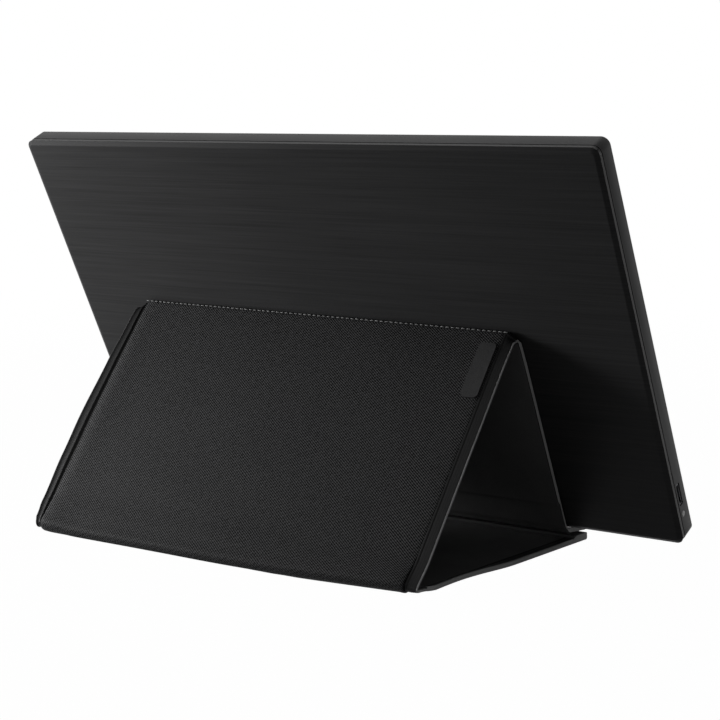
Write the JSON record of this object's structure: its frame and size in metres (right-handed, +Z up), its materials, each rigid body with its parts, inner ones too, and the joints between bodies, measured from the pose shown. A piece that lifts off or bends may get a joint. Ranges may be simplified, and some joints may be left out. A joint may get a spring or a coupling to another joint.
{
  "type": "portable monitor with cover",
  "caption": "Slim USB-powered portable monitor that leans on its fold-up leatherette cover, which is folded into a prism stand with a lip under the screen.",
  "frame": {"origin": "on the surface that the stand rests on, under the middle of the bounding box", "axes": "+Z up, +X along the monitor's width, the screen faces -Y and the stand is on the +Y side"},
  "size_m": [0.3824, 0.174, 0.2258],
  "materials": {
    "casing_back": "fine hairline texture, satin",
    "casing": "satin",
    "band": "satin",
    "screen": "anti-glare",
    "diffuser": "matt",
    "guide": "clear",
    "steel": "plain sheet",
    "foam": "foam",
    "board": "solder mask",
    "chip": "matt",
    "film": "thin film",
    "cable": "flat cable",
    "light": "frosted",
    "leather": "cross-hatch emboss, matt",
    "leather_smooth": "smooth",
    "lining": "brushed microfibre",
    "card": "grey board"
  },
  "bodies": {
    "base": {"base_skin": "leather", "base_board": "card", "base_lining": "lining", "base_bindings": "leather_smooth", "magnet_hem": "leather", "hem_magnets": "steel", "rear_fold": "leather_smooth"},
    "rear_panel": {"rear_skin": "leather", "rear_board": "card", "rear_lining": "lining", "rear_bindings": "leather_smooth", "label_tab": "leather_smooth", "apex_fold": "leather_smooth"},
    "front_panel": {"front_skin": "leather", "front_board": "card", "front_lining": "lining", "front_bindings": "leather_smooth", "lip_fold": "leather_smooth"},
    "lip": {"lip_skin": "leather", "lip_steel": "steel", "lip_lining": "lining"},
    "monitor": {"rear_cover": "casing_back", "middle_frame": "band", "front_bezel": "casing", "screen_gasket": "foam", "lcd_glass": "screen", "diffuser_sheets": "diffuser", "light_guide": "guide", "reflector_sheet": "diffuser", "led_strip": "film", "screen_tray": "steel", "timing_board": "board", "control_board": "board", "board_chips": "chip", "usb_socket": "steel", "usb_tongue": "chip", "insulating_sheet": "film", "ribbon_cable": "cable", "button_cable": "film", "button_board": "board", "button_switch": "steel", "status_light": "light", "case_screws": "steel", "board_screws": "steel"},
    "power_button": {"power_button": "casing"}
  },
  "joints": [
    {"name": "rear_fold_hinge", "type": "hinge", "parent": "base", "child": "rear_panel", "pos_m": [0, 0.0858, 0.0012], "axis": [-1, 0, 0], "range_deg": [0, 126]},
    {"name": "apex_fold_hinge", "type": "hinge", "parent": "rear_panel", "child": "front_panel", "pos_m": [0, -0.00643, 0.12419], "axis": [-1, 0, 0], "range_deg": [0, 105]},
    {"name": "lip_fold_hinge", "type": "hinge", "parent": "front_panel", "child": "lip", "pos_m": [0, -0.0634, 0.0088], "axis": [1, 0, 0], "range_deg": [0, 60]},
    {"name": "monitor_lift", "type": "slide", "parent": "front_panel", "child": "monitor", "axis": [0, 0.454, 0.891], "range_m": [0, 0.15]},
    {"name": "power_button_press", "type": "slide", "parent": "monitor", "child": "power_button", "axis": [0, 0.891, -0.454], "range_m": [0, 0.0005], "stiffness_N_per_m": 1500, "springref_m": -0.0005}
  ],
  "couplings": [
    {"joint": "lip_fold_hinge", "follows": "apex_fold_hinge", "ratio": 0.57}
  ]
}
